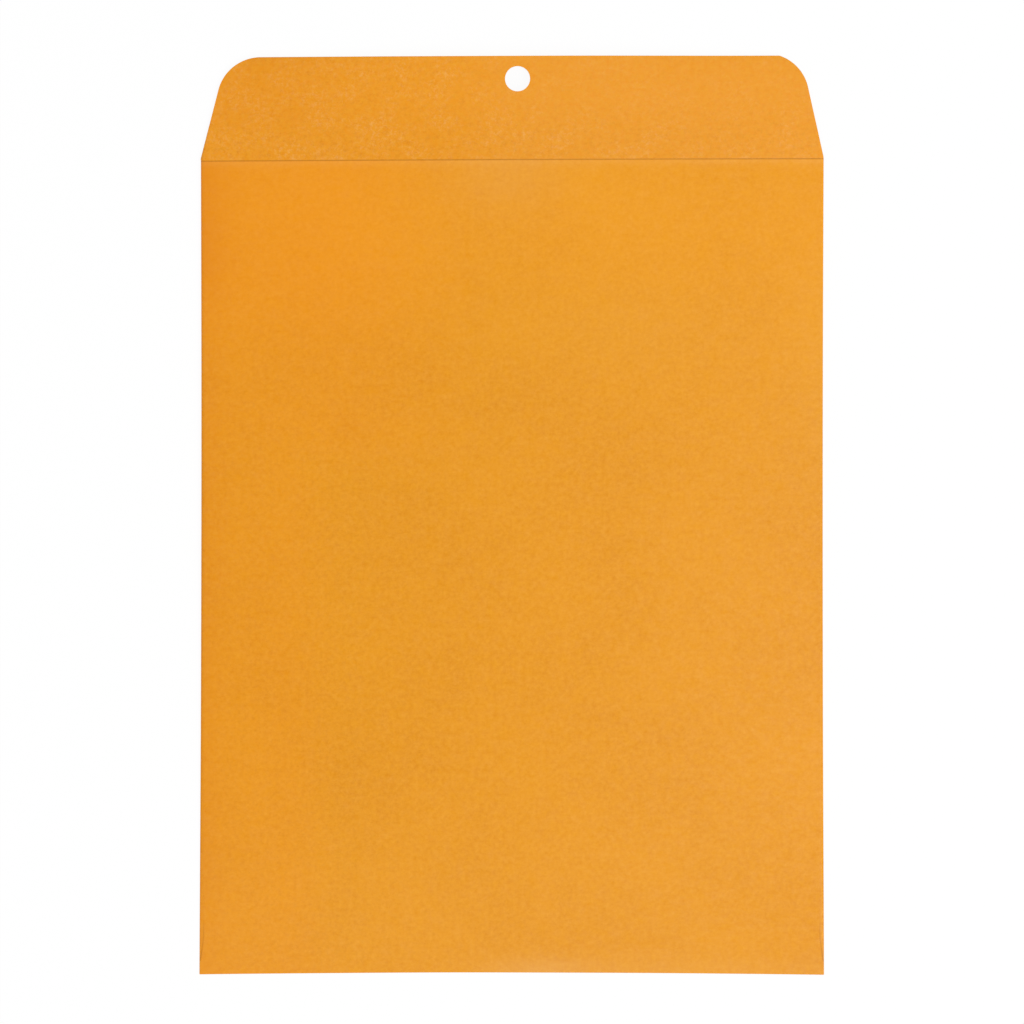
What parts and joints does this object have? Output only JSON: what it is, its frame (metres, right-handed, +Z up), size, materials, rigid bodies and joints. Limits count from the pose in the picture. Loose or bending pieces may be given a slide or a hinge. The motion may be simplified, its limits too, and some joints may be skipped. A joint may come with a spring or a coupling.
{
  "type": "open-end clasp envelope",
  "caption": "Kraft paper clasp envelope lying on its back with the flap open, a folded and glued blank with a punched flap and a stamped metal clasp.",
  "frame": {"origin": "on the table under the middle of the whole outline, flap open", "axes": "+X to the right across the front panel, +Y from the bottom fold to the flap, +Z up out of the front panel"},
  "size_m": [0.2538, 0.3733, 0.0084],
  "materials": {
    "kraft_paper": "machine-glazed golden brown kraft",
    "clasp_metal": "tinned, satin"
  },
  "bodies": {
    "root": {"envelope_sheet": "kraft_paper", "clasp": "clasp_metal"}
  },
  "joints": []
}
